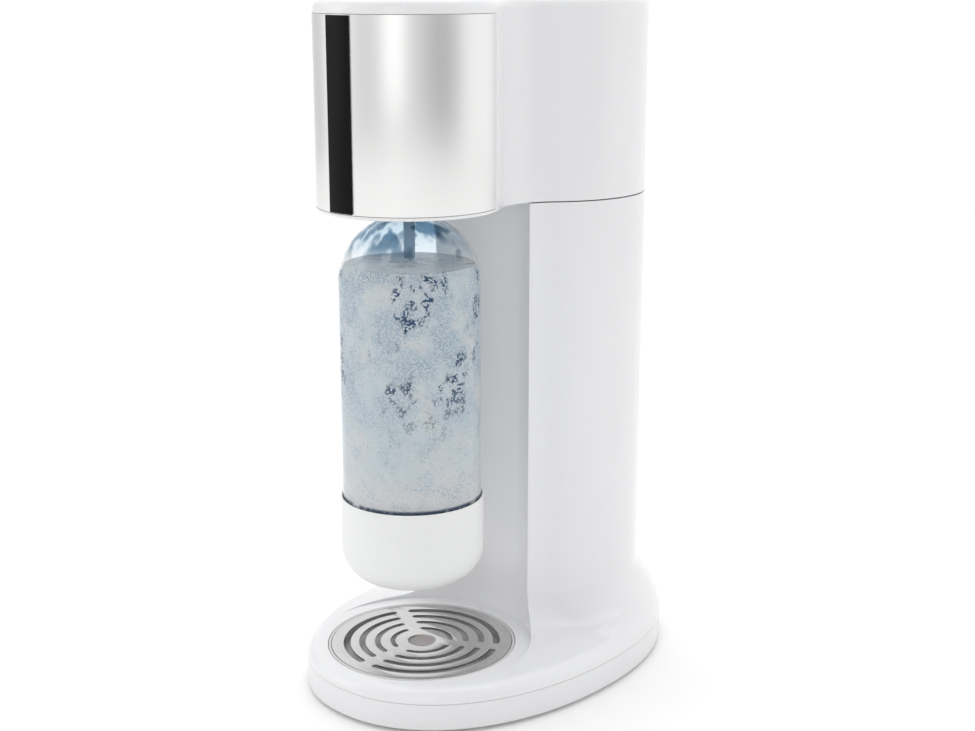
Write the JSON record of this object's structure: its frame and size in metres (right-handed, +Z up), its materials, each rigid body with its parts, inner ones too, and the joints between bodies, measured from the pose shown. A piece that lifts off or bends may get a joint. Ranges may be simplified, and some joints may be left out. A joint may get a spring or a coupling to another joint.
{
  "type": "soda carbonator",
  "caption": "Hand-pressed worktop soda carbonator with a two-drum head, steel sleeve, screwed-in water bottle, drip grate and gas cylinder in the rear column.",
  "frame": {"origin": "on the worktop, under the middle of the base", "axes": "+Z up, front towards -Y, +X to the right seen from the front"},
  "size_m": [0.194, 0.271, 0.432],
  "materials": {
    "white_plastic": "gloss",
    "brushed_steel": "brushed",
    "black_gloss": "gloss",
    "milky_plastic": "satin",
    "clear_plastic": "clear gloss",
    "water": "clear",
    "grey_nylon": "satin",
    "lever_steel": "satin",
    "zinc_steel": "zinc plated",
    "spring_steel": "satin",
    "brass": "machined",
    "painted_steel": "satin",
    "rubber": "matt"
  },
  "bodies": {
    "machine": {"base_pan": "white_plastic", "base_screw_front_left": "zinc_steel", "base_screw_front_right": "zinc_steel", "base_screw_rear_left": "zinc_steel", "base_screw_rear_right": "zinc_steel", "body_shell": "white_plastic", "bottle_seal": "rubber", "bottle_socket": "grey_nylon", "button_spring_left": "spring_steel", "button_spring_right": "spring_steel", "cylinder_seat": "brass", "foot_front_left": "rubber", "foot_front_right": "rubber", "foot_rear_left": "rubber", "foot_rear_right": "rubber", "frame_screw_front_left": "zinc_steel", "frame_screw_front_right": "zinc_steel", "frame_screw_rear_left": "zinc_steel", "frame_screw_rear_right": "zinc_steel", "gas_hose": "rubber", "gloss_stripe": "black_gloss", "head_screw_left": "zinc_steel", "head_screw_right": "zinc_steel", "head_shell": "white_plastic", "inner_frame": "grey_nylon", "lever_pin": "zinc_steel", "nozzle_block": "grey_nylon", "nozzle_screw_left": "zinc_steel", "nozzle_screw_right": "zinc_steel", "nozzle_tube": "grey_nylon", "relief_cap": "brass", "relief_spring": "spring_steel", "steel_sleeve": "brushed_steel", "top_cover": "white_plastic", "valve_block": "brass", "valve_screw_left": "zinc_steel", "valve_screw_right": "zinc_steel", "valve_seal": "rubber"},
    "button": {"push_button": "white_plastic"},
    "press_lever": {"lever": "lever_steel"},
    "valve_pin": {"actuator_pin": "brass"},
    "cylinder": {"gas_cylinder": "painted_steel", "cylinder_valve": "brass"},
    "valve_stem": {"cylinder_stem": "brass"},
    "relief": {"relief_plunger": "brass"},
    "bottle_group": {"bottle": "clear_plastic", "bottle_cup": "milky_plastic", "water": "water"},
    "tray": {"drip_tray": "milky_plastic"},
    "grate": {"drip_grate": "brushed_steel"},
    "cover": {"rear_cover": "white_plastic"}
  },
  "joints": [
    {"name": "button_press", "type": "slide", "parent": "machine", "child": "button", "axis": [0, 0, -1], "range_m": [0, 0.008], "stiffness_N_per_m": 1500, "springref_m": -0.003, "deforming": ["button_spring_left", "button_spring_right"]},
    {"name": "lever_tilt", "type": "hinge", "parent": "machine", "child": "press_lever", "pos_m": [0, 0.087, 0.404], "axis": [1, 0, 0], "range_deg": [0, 3.12]},
    {"name": "pin_push", "type": "slide", "parent": "machine", "child": "valve_pin", "axis": [0, 0, -1], "range_m": [0, 0.00115]},
    {"name": "cylinder_turn", "type": "hinge", "parent": "machine", "child": "cylinder", "pos_m": [0, 0.066, 0.2], "axis": [0, 0, 1], "continuous": true},
    {"name": "stem_push", "type": "slide", "parent": "cylinder", "child": "valve_stem", "axis": [0, 0, -1], "range_m": [0, 0.00115]},
    {"name": "relief_lift", "type": "slide", "parent": "machine", "child": "relief", "axis": [0, 0, 1], "range_m": [0, 0.0015], "stiffness_N_per_m": 400, "springref_m": -0.002, "deforming": ["relief_spring"]},
    {"name": "bottle_drop", "type": "slide", "parent": "machine", "child": "bottle_group", "axis": [0, 0, -1], "range_m": [0, 0.03]},
    {"name": "tray_lift", "type": "slide", "parent": "machine", "child": "tray", "axis": [0, 0, 1], "range_m": [0, 0.011]},
    {"name": "grate_lift", "type": "slide", "parent": "tray", "child": "grate", "axis": [0, 0, 1], "range_m": [0, 0.005]},
    {"name": "cover_pull", "type": "slide", "parent": "machine", "child": "cover", "axis": [0, 1, 0], "range_m": [0, 0.1]}
  ],
  "couplings": [
    {"joint": "lever_tilt", "follows": "button_press", "rad_per_m": 6.8027},
    {"joint": "pin_push", "follows": "button_press", "ratio": 0.14286},
    {"joint": "stem_push", "follows": "button_press", "ratio": 0.14286}
  ]
}
